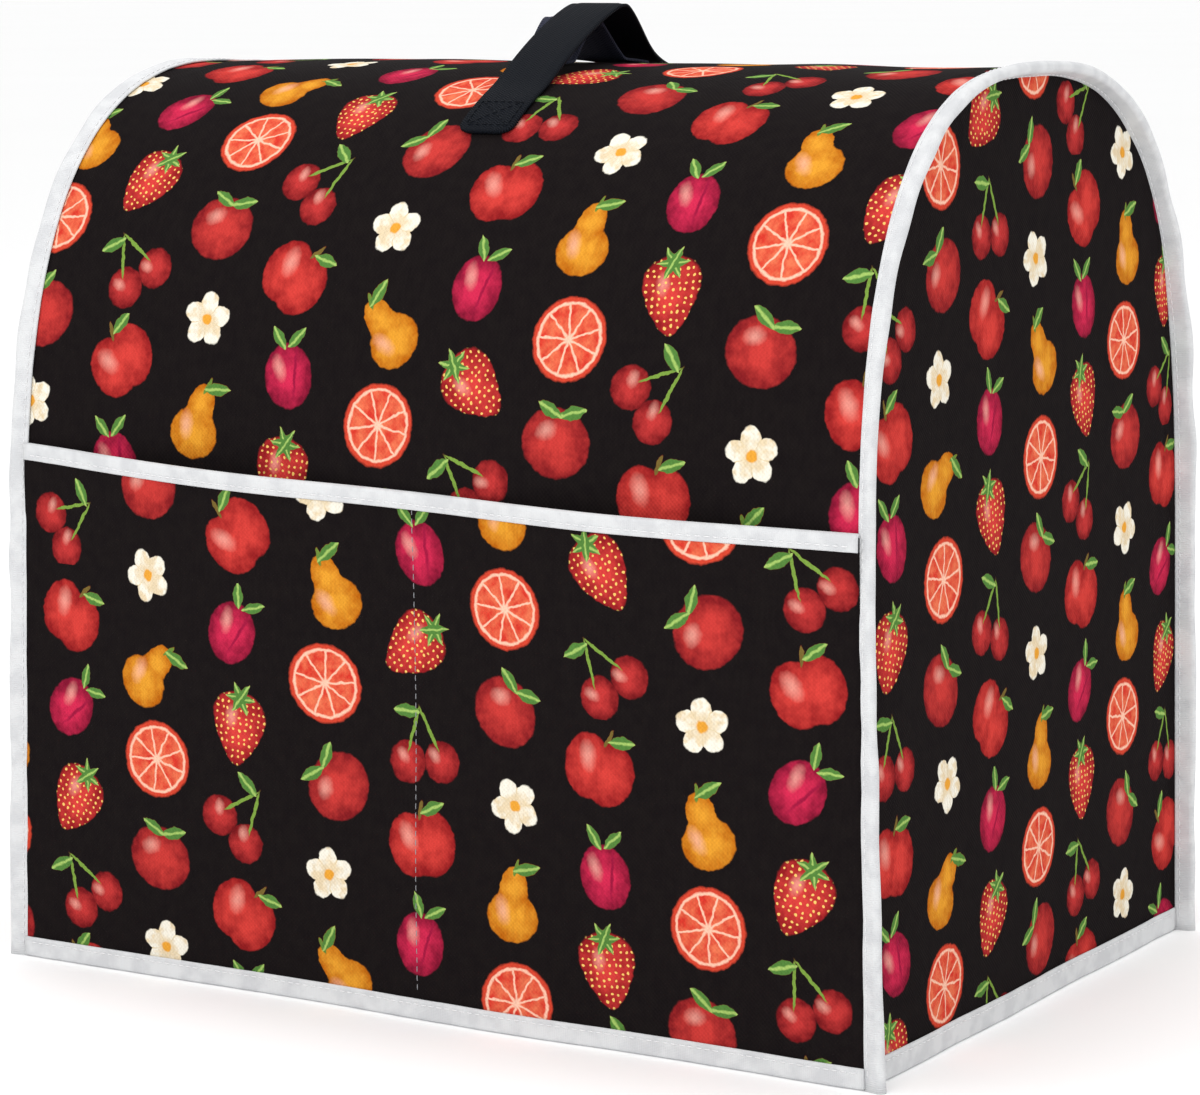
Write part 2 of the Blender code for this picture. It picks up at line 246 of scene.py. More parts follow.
def long_belly(across, distance):
    """How far the long panel stands out from its plain form. across is -1 to 1 between the seams."""
    along = distance / ARCH_LENGTH
    belly = FRONT_BELLY * math.sin(2 * math.pi * along) ** 2
    belly *= 1 - 0.2 * math.sin(4 * across + 9 * along)
    near_hem = max(0.0, 1 - distance / 0.18) ** 2
    wave = HEM_WAVE * near_hem * math.sin(6.0 * across + 0.6)
    broad = (belly + wave) * (1 - across * across)
    return broad + unevenness(across, distance) - top_sag(across, distance)


def on_long_panel(across, distance, lift=0.0):
    """A point of the long panel, or one that lies lift outside its middle."""
    y, z, out_y, out_z = section(distance)
    lift += long_belly(across, distance)
    return Vector((across * half_width(z), y + lift * out_y, z + lift * out_z))


def on_flange(side, distance, out, up):
    """A point in a side seam's flange: out along it, and up through it to the long panel's outside."""
    y, z, out_y, out_z = section(distance)
    out *= flange_reach(side, distance)
    sideways = out * math.cos(FLANGE_TILT) - up * math.sin(FLANGE_TILT)
    outwards = out * math.sin(FLANGE_TILT) + up * math.cos(FLANGE_TILT)
    sag = top_sag(side, distance)
    outwards -= sag + TOP_SINK * out * sag / TOP_SAG
    return Vector((side * (half_width(z) + sideways), y + outwards * out_y, z + outwards * out_z))


def side_seam_point(side, index):
    return on_flange(side, PANEL_STATIONS[index], 0, -CLOTH - GAP)


def side_edge_point(side, place_in_rows):
    low = min(int(place_in_rows), ROWS - 1)
    part = place_in_rows - low
    ends = [on_flange(side, PANEL_STATIONS[k], SEAM_ALLOWANCE, -CLOTH - GAP) for k in (low, low + 1)]
    return ends[0].lerp(ends[1], part)


def side_width(side, y, z):
    """How far a side panel's middle stands from the cover's middle plane, with its unevenness."""
    depth = (y - BOX_SHIFT) / HALF_DEPTH
    free = max(0.0, 1 - depth * depth)
    belly = SIDE_BELLY * math.sin(math.pi * min(z / HEIGHT, 1)) * free
    broad = BROAD_SWELL * noise.noise(Vector((y / 0.080, z / 0.120, 6.0 + side)))
    fine = SIDE_FINE_SWELL * noise.noise(Vector((y / 0.028, z / 0.040, 2.0 + side)))
    under_arch = smooth((HEIGHT - z) / 0.05)
    uneven = (broad + fine) * smooth(3 * free) * under_arch
    return half_width(z) + (CLOTH + GAP) * math.sin(FLANGE_TILT) + belly + uneven


def side_field_point(side, column, row):
    """A point inside a side panel's arch, from the four curves round it (a Coons patch)."""
    u = column / TOP_ROWS
    v = row / SIDE_ROWS
    low_front = side_seam_point(side, 0)
    low_back = side_seam_point(side, ROWS)
    shoulder_front = side_seam_point(side, SIDE_ROWS)
    shoulder_back = side_seam_point(side, ROWS - SIDE_ROWS)
    across = low_front.lerp(low_back, u) * (1 - v) + side_seam_point(side, SIDE_ROWS + column) * v
    upright = side_seam_point(side, row) * (1 - u) + side_seam_point(side, ROWS - row) * u
    corners = low_front.lerp(low_back, u) * (1 - v) + shoulder_front.lerp(shoulder_back, u) * v
    point = across + upright - corners
    on_seam = column in (0, TOP_ROWS) or row == SIDE_ROWS
    if not on_seam:
        point.x = side * side_width(side, point.y, point.z)
    return point


def pocket_top(across):
    """Distance from the front hem to the pocket's upper edge."""
    return POCKET_HEIGHT - POCKET_TILT * across - POCKET_SAG * (1 - across * across)


def pocket_lift(across, height_share, top):
    """The pocket cloth's distance from the long panel's middle. Its stitches part it in two bows."""
    resting = CLOTH + GAP
    held_off = 2 * (GAP + CLOTH / 2) + TAPE
    below_mouth = top * (1 - height_share)
    resting += (held_off - resting) * smooth(1 - (below_mouth - POCKET_TAPE_HEIGHT) / POCKET_EASE)
    share = min(height_share, 1)
    bow = POCKET_BOW * share * math.sin(math.pi * across) ** 2
    # folds of its own, which only stand outwards
    distance = share * top
    fold = 0.5 + noise.noise(Vector((across * 3.4, distance / 0.16, 11.5)))
    bow += POCKET_FOLD * max(fold, 0) * smooth(4 * share) * math.sin(math.pi * across) ** 2
    divider = math.exp(-(((abs(across) * TOP_HALF_WIDTH - 0.006) / 0.005) ** 2))
    uneven = 3 * noise.noise(Vector((0, 0, distance / 0.02)))
    bow += DIVIDER_RIPPLE * divider * (0.5 + 0.5 * math.sin(distance / 0.0021 + uneven))
    return resting + bow


def on_pocket(across, height_share, lift=0.0):
    """A point of the pocket cloth, or one that lies lift outside its middle."""
    top = pocket_top(across)
    distance = EDGE_RAISE + (top - EDGE_RAISE) * height_share
    lift += pocket_lift(across, height_share, top)
    return on_long_panel(across * (1 + END_LAP / half_width(distance)), distance, lift)


def top_height(y, lift):
    """Height of a line that lies lift outside the long panel's middle, over a depth y."""
    distance = float(np.interp(y - BOX_SHIFT, ARCH_Y, ARCH_S))
    slope = math.tan(np.interp(distance, ARCH_S, ARCH_HEADING))
    lift += long_belly(STRAP_CENTRE / TOP_HALF_WIDTH, distance)
    return float(np.interp(y - BOX_SHIFT, ARCH_Y, ARCH_Z)) + lift * math.hypot(1, slope)


def free_height(y, rise, front_slope, front_curve, back_slope):
    """Height of a strap that climbs in an arc to a soft bend and comes down again behind it."""
    beyond = y - STRAP_APEX_Y
    run = math.hypot(beyond, STRAP_BEND) - STRAP_BEND
    if beyond < 0:
        drop = front_slope * run + front_curve * run * run
    else:
        drop = back_slope * run / (1 + STRAP_BACK_EASE * run)
    return HEIGHT + rise - drop


def upper_of(first, second, softness=0.0012):
    """The larger of two heights, with the corner between them rounded."""
    return (first + second + math.hypot(first - second, softness)) / 2


# Finishes: what each cloth, tape, thread and webbing is made of


def linear(hex_colour):
    """An sRGB hex colour as the linear colour that a shader takes."""
    values = [int(hex_colour[k : k + 2], 16) / 255 for k in (1, 3, 5)]
    return tuple(v / 12.92 if v <= 0.04045 else ((v + 0.055) / 1.055) ** 2.4 for v in values) + (1.0,)


def finish(name, roughness, sheen=0.0, specular=0.5):
    """A new finish on a plain surface shader, with a function that adds a node to it.

    add takes the node's kind, with its operation after a dot, its inputs in order, each a number, a
    colour or another node's output, and its other settings. It returns its output or outputs. Every
    Mix is one of colours.
    """
    made = bpy.data.materials.new(name)
    made.use_nodes = True
    tree = made.node_tree
    surface = tree.nodes["Principled BSDF"]
    surface.inputs["Roughness"].default_value = roughness
    surface.inputs["Sheen Weight"].default_value = sheen
    surface.inputs["Specular IOR Level"].default_value = specular

    def add(kind, *inputs, **settings):
        kind, _, operation = kind.partition(".")
        node = tree.nodes.new("ShaderNode" + kind)
        if operation:
            node.operation = operation
        if kind == "Mix":
            node.data_type = "RGBA"
        for setting, value in settings.items():
            setattr(node, setting, value)
        sockets = [socket for socket in node.inputs if socket.enabled]
        for socket, value in zip(sockets, inputs):
            if isinstance(value, bpy.types.NodeSocket):
                tree.links.new(value, socket)
            elif value is not None:
                socket.default_value = value
        results = [socket for socket in node.outputs if socket.enabled]
        return results[0] if len(results) == 1 else results

    def coat(socket, value):
        tree.links.new(value, surface.inputs[socket])

    return made, add, coat


def fitted(add, place, middle, radii, turn=0.0):
    """Places along and across a turned shape, where 1 is its rim. Middle and radii are in millimetres."""
    angle = math.radians(turn)
    ahead = (math.cos(angle) / radii[0], math.sin(angle) / radii[0], 0)
    aside = (-math.sin(angle) / radii[1], math.cos(angle) / radii[1], 0)
    moved = add("VectorMath.SUBTRACT", place, (*middle, 0))
    along = add("VectorMath.DOT_PRODUCT", moved, ahead)
    return along, add("VectorMath.DOT_PRODUCT", moved, aside)


def body(add, place, middle, radii, turn=0.0):
    """Distance from the middle of a rounded shape, 1 at its rim."""
    inside = add("CombineXYZ", *fitted(add, place, middle, radii, turn))
    return add("VectorMath.LENGTH", inside)


def spot(add, place, middle, radii, turn=0.0, soft=0.1):
    """1 inside a rounded spot and 0 outside it."""
    return add("MapRange", body(add, place, middle, radii, turn), 1 + soft, 1 - soft)


def leaf(add, place, middle, radii, turn):
    """1 inside a leaf with two pointed ends and 0 outside it, and the distance from its midrib."""
    along, across = fitted(add, place, middle, radii, turn)
    aside = add("Math.ABSOLUTE", across)
    rim = add("Math.MULTIPLY_ADD", along, along, aside)
    return add("MapRange", rim, 1.06, 0.94), aside


def skin(add, rim, tone, light, dark, shine):
    """Painted fruit skin: lighter towards its middle, uneven as brushwork is, with a soft highlight."""
    uneven = add("Math.MULTIPLY_ADD", tone, 0.45, rim)
    shade = add("MapRange", uneven, 0.45, 1.30)
    round_skin = add("Mix", shade, linear(light), linear(dark))
    gleam = add("Math.MULTIPLY", shine, 0.48)
    return add("Mix", gleam, round_skin, linear("#E6AE9E"))


def with_leaves(add, place, colour, share, *leaves):
    """Lays green leaves with paler midribs over a motif. Each has its middle, radii and turn."""
    for middle, radii, turn in leaves:
        blade, aside = leaf(add, place, middle, radii, turn)
        rib = add("MapRange", aside, 0.10, 0.30)
        green = add("Mix", rib, linear("#94B25E"), linear("#4C7636"))
        colour = add("Mix", blade, colour, green)
        share = add("Math.MAXIMUM", share, blade)
    return colour, share


def red_apple(add, place, tone):
    left = body(add, place, (-4.9, -1.6), (10.5, 12.8), 8)
    right = body(add, place, (4.9, -1.6), (10.5, 12.8), -8)
    rim = add("Math.SMOOTH_MIN", left, right, 0.15)
    colour = skin(add, rim, tone, "#C03A34", "#821A1C", spot(add, place, (-6, 2), (2.6, 4.2), 20, 0.7))
    share = add("MapRange", rim, 1.03, 0.97)
    stalk = spot(add, place, (1.0, 12.0), (0.9, 4.0), -15)
    colour = add("Mix", stalk, colour, linear("#6B5A2B"))
    share = add("Math.MAXIMUM", share, stalk)
    return with_leaves(add, place, colour, share, ((6.6, 12.4), (6.0, 2.6), 18))


def cut_orange(add, place, tone):
    """A round slice of blood orange, with nine segments."""
    along, across = fitted(add, place, (0, 0), (16.2, 15.6), 17)
    rim = add("VectorMath.LENGTH", add("CombineXYZ", along, across))
    heading = add("Math.ARCTAN2", across, along)
    wedge = add("Math.MULTIPLY", heading, 9 / (2 * math.pi))
    wedge = add("Math.PINGPONG", wedge, 0.5)
    wall = add("MapRange", add("Math.MULTIPLY", wedge, rim), 0.055, 0.020)
    flesh = add("Mix", tone, linear("#C23428"), linear("#D56A4A"))
    core = add("MapRange", rim, 0.16, 0.08)
    pale = add("Math.MAXIMUM", wall, core)
    pith = add("MapRange", rim, 0.80, 0.84)
    pale = add("Math.MAXIMUM", pale, pith)
    colour = add("Mix", pale, flesh, linear("#E6B49C"))
    peel = add("MapRange", rim, 0.87, 0.91)
    colour = add("Mix", peel, colour, linear("#C03F2C"))
    return colour, add("MapRange", rim, 1.03, 0.97)


def strawberry(add, place, tone):
    along, across, _ = add("SeparateXYZ", place)
    width = add("Math.MULTIPLY_ADD", across, 0.32, 11.8)
    sideways = add("Math.DIVIDE", along, width)
    upright = add("Math.MULTIPLY_ADD", across, 1 / 15.0, 1.5 / 15.0)
    rim = add("VectorMath.LENGTH", add("CombineXYZ", sideways, upright))
    colour = skin(add, rim, tone, "#C23A36", "#851A1E", spot(add, place, (-3.5, 3), (2.0, 3.2), 0, 0.7))
    pip = add("TexVoronoi", place, 0.36, None, None, None, 0.35, voronoi_dimensions="2D")[0]
    colour = add("Mix", add("MapRange", pip, 0.22, 0.16), colour, linear("#E2B964"))
    crown = [((0, 11.0), (7.2, 1.9), turn) for turn in (-60, 0, 60)]
    return with_leaves(add, place, colour, add("MapRange", rim, 1.03, 0.97), *crown)


def cherries(add, place, tone):
    left = body(add, place, (-8.0, -6.2), (8.3, 8.5))
    right = body(add, place, (7.8, -8.0), (8.0, 8.3))
    rim = add("Math.MINIMUM", left, right)
    gleams = [spot(add, place, middle, (1.6, 2.4), 25, 0.7) for middle in ((-9.8, -3.4), (4.8, -5.0))]
    shine = add("Math.MAXIMUM", *gleams)
    colour = skin(add, rim, tone, "#AF3231", "#691519", shine)
    share = add("MapRange", rim, 1.04, 0.96)
    left_stalk = spot(add, place, (-2.9, 6.2), (0.75, 9.6), -27)
    right_stalk = spot(add, place, (4.3, 5.6), (0.75, 9.8), 17)
    stalk = add("Math.MAXIMUM", left_stalk, right_stalk)
    colour = add("Mix", stalk, colour, linear("#6F8F3C"))
    share = add("Math.MAXIMUM", share, stalk)
    return with_leaves(add, place, colour, share, ((-4.6, 13.6), (6.4, 2.8), -12))


def cream_blossom(add, place, tone):
    """Five petals round a yellow heart."""
    along, across = fitted(add, place, (0, 0), (11.0, 11.0))
    reach = add("VectorMath.LENGTH", add("CombineXYZ", along, across))
    heading = add("Math.ARCTAN2", across, along)
    wing = add("Math.COSINE", add("Math.MULTIPLY", heading, 2.5))
    wing = add("Math.ABSOLUTE", wing)
    petal = add("Math.MULTIPLY_ADD", wing, 0.34, 0.66)
    rim = add("Math.DIVIDE", reach, petal)
    shade = add("MapRange", add("Math.MULTIPLY", tone, reach), 0.10, 0.45)
    colour = add("Mix", shade, linear("#D2C0A0"), linear("#DFDACC"))
    fold = add("MapRange", wing, 0.16, 0.04)
    colour = add("Mix", fold, colour, linear("#CFBD9A"))
    heart = add("MapRange", reach, 0.24, 0.18)
    colour = add("Mix", heart, colour, linear("#D49434"))
    return colour, add("MapRange", rim, 1.03, 0.97)


def pomegranate(add, place, tone):
    rim = body(add, place, (0, -1.4), (14.6, 13.2))
    colour = skin(add, rim, tone, "#B73632", "#76191D", spot(add, place, (-5, 2.5), (3.2, 2.4), 30, 0.7))
    pair = ((5.2, 10.8), (6.2, 2.6), 22), ((-4.8, 10.4), (6.2, 2.6), 160)
    return with_leaves(add, place, colour, add("MapRange", rim, 1.03, 0.97), *pair)


def plum(add, place, tone):
    rim = body(add, place, (0, -2.2), (10.9, 12.8), 6)
    colour = skin(add, rim, tone, "#BF2749", "#74132B", spot(add, place, (-4, 1.5), (2.0, 3.8), 15, 0.7))
    groove = spot(add, place, (3.2, -1.0), (0.7, 9.4), -8, 0.4)
    colour = add("Mix", groove, colour, linear("#8E1738"))
    pair = ((4.8, 12.2), (5.6, 2.3), 38), ((-3.4, 13.2), (5.6, 2.3), 118)
    return with_leaves(add, place, colour, add("MapRange", rim, 1.03, 0.97), *pair)


def golden_pear(add, place, tone):
    base = body(add, place, (0, -6.4), (11.7, 10.3))
    neck = body(add, place, (0.9, 4.8), (6.4, 9.2), -8)
    rim = add("Math.SMOOTH_MIN", base, neck, 0.4)
    shine = spot(add, place, (-4.2, -4.0), (2.2, 4.0), 10, 0.7)
    colour = skin(add, rim, tone, "#D08E2B", "#A85A0E", shine)
    share = add("MapRange", rim, 1.00, 0.94)
    stalk = spot(add, place, (2.2, 13.2), (0.9, 3.6), -20)
    colour = add("Mix", stalk, colour, linear("#5F7A33"))
    share = add("Math.MAXIMUM", share, stalk)
    return with_leaves(add, place, colour, share, ((7.0, 13.0), (6.4, 2.6), 12))


FRUIT = (red_apple, cut_orange, cherries, golden_pear, strawberry, cream_blossom, plum, pomegranate)
PRINT_WIDTH = 42.0  # from one column of motifs to the next, in millimetres
PRINT_HEIGHT = 38.5  # from one motif to the next up a column
MOTIF_SHIFT = (4.5, 2.6, 0)  # how far a motif may stand off its place
MOTIF_TURN = 0.95  # how far it may turn to either side, in radians
BRUSH_WOBBLE = (1.3, 1.3, 0)  # unevenness of a painted rim


def fruit_print(add, cut):
    """A repeat of fruit and blossom on black, in columns that are set half a step up and down."""
    across, along, _ = add("SeparateXYZ", cut)
    across = add("Math.DIVIDE", across, PRINT_WIDTH)
    column = add("Math.FLOOR", across)
    odd = add("Math.FLOORED_MODULO", column, 2.0)
    along = add("Math.DIVIDE", along, PRINT_HEIGHT)
    along = add("Math.MULTIPLY_ADD", odd, 0.5, along)
    row = add("Math.FLOOR", along)
    corner = add("CombineXYZ", column, row)
    dice = add("TexWhiteNoise", corner, noise_dimensions="2D")
    place = add("VectorMath.SUBTRACT", add("CombineXYZ", across, along), corner)
    place = add("VectorMath.SUBTRACT", place, (0.5, 0.5, 0))
    place = add("VectorMath.MULTIPLY", place, (PRINT_WIDTH, PRINT_HEIGHT, 0))
    # each motif stands a little off its middle, turned its own way, with a hand-painted rim
    off = add("VectorMath.SUBTRACT", dice[1], (0.5, 0.5, 0.5))
    off = add("VectorMath.MULTIPLY", off, MOTIF_SHIFT)
    place = add("VectorMath.ADD", place, off)
    turn = add("MapRange", dice[0], 0.0, 1.0, -MOTIF_TURN, MOTIF_TURN)
    place = add("VectorRotate", place, (0, 0, 0), turn, rotation_type="Z_AXIS")
    brush = add("TexNoise", cut, 0.30, 1.5, 0.6, noise_dimensions="2D")
    wobble = add("VectorMath.SUBTRACT", brush[1], (0.5, 0.5, 0.5))
    wobble = add("VectorMath.MULTIPLY", wobble, BRUSH_WOBBLE)
    place = add("VectorMath.ADD", place, wobble)
    tone = add("MapRange", add("TexNoise", cut, 0.16, 2.0, 0.65, noise_dimensions="2D")[0], 0.30, 0.70)
    kind = add("Math.MULTIPLY", column, 3.0)
    kind = add("Math.MULTIPLY_ADD", row, 2.0, kind)
    kind = add("Math.FLOORED_MODULO", kind, float(len(FRUIT)))
    printed = add("Mix", tone, linear("#151112"), linear("#181414"))
    for number, motif in enumerate(FRUIT):
        colour, share = motif(add, place, tone)
        chosen = add("Math.COMPARE", kind, float(number), 0.5)
        share = add("Math.MULTIPLY", share, chosen)
        printed = add("Mix", share, printed, colour)
    return printed


# The canvas has a thread each 0.5 mm. It is drawn with one each 0.9 mm, so that the weave shows
DRAWN_PITCH = 0.9


def plain_weave(add, cut):
    """Height of the canvas's threads, from -1 to 1."""
    across, along, _ = add("SeparateXYZ", cut)
    turn = math.pi / DRAWN_PITCH
    warp = add("Math.SINE", add("Math.MULTIPLY", across, turn))
    weft = add("Math.SINE", add("Math.MULTIPLY", along, turn))
    return add("Math.MULTIPLY", warp, weft)


def cut_in_millimetres(add):
    place = add("UVMap", uv_map="Cut")
    return add("VectorMath.MULTIPLY", place, (1000, 1000, 0))


def printed_canvas():
    """Polyester canvas, printed on its face: a tight plain weave without gloss, black between motifs."""
    made, add, coat = finish("printed_canvas", 0.82, specular=0.02)
    cut = cut_in_millimetres(add)
    weave = plain_weave(add, cut)
    stretched = add("VectorMath.MULTIPLY", cut, (0.9, 0.12, 1))
    slub = add("TexNoise", stretched, 1.0, 1.0, noise_dimensions="2D")[0]
    printed = fruit_print(add, cut)
    # Painted shade and highlight: the colour is lighter on the threads' crests and darker between them,
    # following the weave. The slub's unevenness is the yarn's own.
    weave_shade_and_slub = add("Math.MULTIPLY_ADD", weave, 0.05, add("MapRange", slub, 0.3, 0.7, -0.05, 0.05))
    bright = add("Math.ADD", weave_shade_and_slub, 1.0)
    bright = add("CombineXYZ", bright, bright, bright)
    coat("Base Color", add("VectorMath.MULTIPLY", printed, bright))
    coat("Roughness", add("MapRange", weave, -1.0, 1.0, 0.86, 0.74))
    coat("Normal", add("Bump", 0.35, 0.0002, None, weave))
    return made


def canvas_reverse():
    """The canvas's unprinted back: chalky off-white, greyed by the print's dark ground, with painted
    shade in its weave's hollows.
    """
    made, add, coat = finish("canvas_reverse", 0.88, sheen=0.05, specular=0.25)
    cut = cut_in_millimetres(add)
    weave = plain_weave(add, cut)
    cloud = add("TexNoise", cut, 0.03, 3.0, noise_dimensions="2D")[0]
    colour = add("Mix", cloud, linear("#B9B6B4"), linear("#C9C7C5"))
    # Painted shade: the weave's hollows are darkened towards a warm grey.
    shaded_hollow = add("MapRange", weave, -1.0, 1.0, 0.16, 0.0)
    colour = add("Mix", shaded_hollow, colour, linear("#77716F"))
    coat("Base Color", colour)
    coat("Normal", add("Bump", 0.35, 0.0002, None, weave))
    return made


def white_binding():
    """Folded polyester binding tape: matt white with fine crosswise ribs and painted shade, a little
    grey, between them.
    """
    made, add, coat = finish("white_binding", 0.72, sheen=0.05, specular=0.20)
    cut = cut_in_millimetres(add)
    along, across, _ = add("SeparateXYZ", cut)
    # ribs of 0.4 mm, drawn at 0.8 mm so that they show
    rib = add("Math.SINE", add("Math.MULTIPLY", along, 2 * math.pi / 0.8))
    weft = add("Math.SINE", add("Math.MULTIPLY", across, 2 * math.pi / 0.6))
    weave = add("Math.MULTIPLY_ADD", weft, 0.4, rib)
    cloud = add("MapRange", add("TexNoise", cut, 0.10, 3.0, noise_dimensions="2D")[0], 0.38, 0.60)
    colour = add("Mix", cloud, linear("#C2C3C5"), linear("#CECFD0"))
    # Painted shade: the tape is greyer in the hollows between its ribs.
    shaded_hollow = add("MapRange", weave, -1.4, 1.4, 0.10, 0.0)
    colour = add("Mix", shaded_hollow, colour, linear("#A9ABB0"))
    coat("Base Color", colour)
    coat("Normal", add("Bump", 0.30, 0.0002, None, weave))
    return made


def sewing_thread(name, colour, specular):
    """Spun polyester thread: matt, with the twist of its plies as fine slanting lines."""
    made, add, coat = finish(name, 0.7, sheen=0.02, specular=specular)
    place = add("VectorMath.MULTIPLY", add("TexCoord")[3], (1000, 1000, 1000))
    twist = add("TexNoise", place, 1.6, 1.0)[0]
    shade = add("MapRange", twist, 0.35, 0.65, 0.78, 1.0)
    tint = linear(colour)
    coat("Base Color", add("Mix", shade, tuple(0.6 * v for v in tint[:3]) + (1,), tint))
    return made


def webbing(name, shaded_hollow, lit_crest):
    """Polypropylene webbing: near black with a blue cast, with close ribs that catch a little light;
    their colour holds painted highlight and shade.
    """
    made, add, coat = finish(name, 0.75, specular=0.06)
    cut = cut_in_millimetres(add)
    along, across, _ = add("SeparateXYZ", cut)
    # a rib each 1.2 mm, leaning in pairs as twill does
    pair = add("Math.PINGPONG", add("Math.MULTIPLY", across, 0.5), 1.0)
    lean = add("Math.MULTIPLY_ADD", pair, 1.4, along)
    rib = add("Math.SINE", add("Math.MULTIPLY", lean, 2 * math.pi / 1.2))
    # Painted highlight and shade: the colour runs from the darker hollow of each rib to its lighter
    # crest.
    grey = add("MapRange", rib, -1.0, 1.0)
    colour = add("Mix", grey, linear(shaded_hollow), linear(lit_crest))
    coat("Base Color", colour)
    coat("Roughness", add("MapRange", rib, -1.0, 1.0, 0.82, 0.62))
    coat("Normal", add("Bump", 0.5, 0.0003, None, rib))
    return made


CANVAS = printed_canvas()
REVERSE = canvas_reverse()
BINDING = white_binding()
WHITE_THREAD = sewing_thread("white_thread", "#DCDCDD", 0.30)
GREY_THREAD = sewing_thread("grey_thread", "#8E8E92", 0.20)
DARK_THREAD = sewing_thread("dark_thread", "#0B0E14", 0.06)
BLACK_WEBBING = webbing("black_webbing", "#05070B", "#11151D")
GREY_WEBBING = webbing("grey_webbing", "#20222F", "#3C3E4C")


# Pieces: how sheets, folded tapes and rows of stitches are made


def make_piece(name, points, cut, faces, finishes, node=None):
    """A smooth mesh with its flat cut's coordinates. It rides on the cover and may stand for a solid."""
    mesh = bpy.data.meshes.new(name)
    mesh.from_pydata([tuple(p) for p in points], [], faces)
    layer = mesh.uv_layers.new(name="Cut")
    corners = np.zeros(len(mesh.loops), dtype=np.int32)
    mesh.loops.foreach_get("vertex_index", corners)
    layer.data.foreach_set("uv", np.asarray(cut, dtype=np.float32)[corners].ravel())
    mesh.shade_smooth()
    piece = bpy.data.objects.new(name, mesh)
    bpy.context.scene.collection.objects.link(piece)
    for one in finishes:
        mesh.materials.append(one)
    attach(piece, "root")
    if node:
        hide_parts(node)
    return piece


def cloth(name, columns, rows, place, node, flip=False):
    """A printed canvas sheet: place(column, row) gives a point of its middle and of its flat cut."""
    laid = [place(column, row) for row in range(rows + 1) for column in range(columns + 1)]
    wide = columns + 1
    corners = [row * wide + column for row in range(rows) for column in range(columns)]
    faces = [(a, a + 1, a + wide + 1, a + wide) for a in corners]
    if flip:
        faces = [face[::-1] for face in faces]
    points, cut = zip(*laid)
    piece = make_piece(name, points, cut, faces, (CANVAS, REVERSE), node)
    sheet = piece.modifiers.new("Thickness", "SOLIDIFY")
    sheet.thickness = CLOTH * 0.9
    sheet.offset = 0
    sheet.material_offset = 1
    sheet.use_quality_normals = True
    return piece


def folded_outline(leg, half):
    """Outline of a folded tape's section, as places towards the fold and across it.

    Two legs of the same length, each half away from the middle, are joined by a round turn. A shallow
    groove runs where the stitches pull each leg in.
    """
    outer = half + TAPE / 2
    inner = half - TAPE / 2
    groove = [(0.0, 0.0), (0.0008, 0.0), (0.0011, 0.00003), (STITCH_INSET, 0.00014), (0.0021, 0.00003)]
    groove += [(0.0030, 0.0), ((leg + 0.003) / 2, 0.0)]
    down = [(along, outer - dip) for along, dip in groove]
    turn = [math.radians(90 - 22.5 * k) for k in range(9)]
    round_turn = [(leg + outer * math.cos(a), outer * math.sin(a)) for a in turn]
    back = [(along, -outer + dip) for along, dip in reversed(groove)]
    end = [math.radians(k) for k in (-125, -180, -235)]
    low_end = [(TAPE / 2 * math.cos(a), -half + TAPE / 2 * math.sin(a)) for a in end]
    inside = [(0.0, -inner), (leg, -inner), (leg + inner, 0.0), (leg, inner), (0.0, inner)]
    high_end = [(TAPE / 2 * math.cos(a), half + TAPE / 2 * math.sin(a)) for a in end]
    return down + round_turn + back + low_end + inside + high_end


def swept(name, rows, outline, place, finishes, node=None):
    """A closed outline carried along a path: place(row, first, second) gives each of its points."""
    count = len(outline)
    widths = np.concatenate([[0], np.cumsum(np.hypot(*np.diff(np.array(outline), axis=0).T))])
    points = [place(row, *one) for row in range(rows + 1) for one in outline]
    steps = [(points[row * count] - points[(row - 1) * count]).length for row in range(1, rows + 1)]
    lengths = np.concatenate([[0], np.cumsum(steps)])
    cut = [(lengths[row], width) for row in range(rows + 1) for width in widths]
    faces = []
    for row in range(rows):
        for k in range(count):
            after = (k + 1) % count
            low = row * count
            faces.append((low + k, low + after, low + count + after, low + count + k))
    faces.append(tuple(reversed(range(count))))
    faces.append(tuple(range(rows * count, rows * count + count)))
    piece = make_piece(name, points, cut, faces, finishes, node)
    piece.data.validate()
    return piece


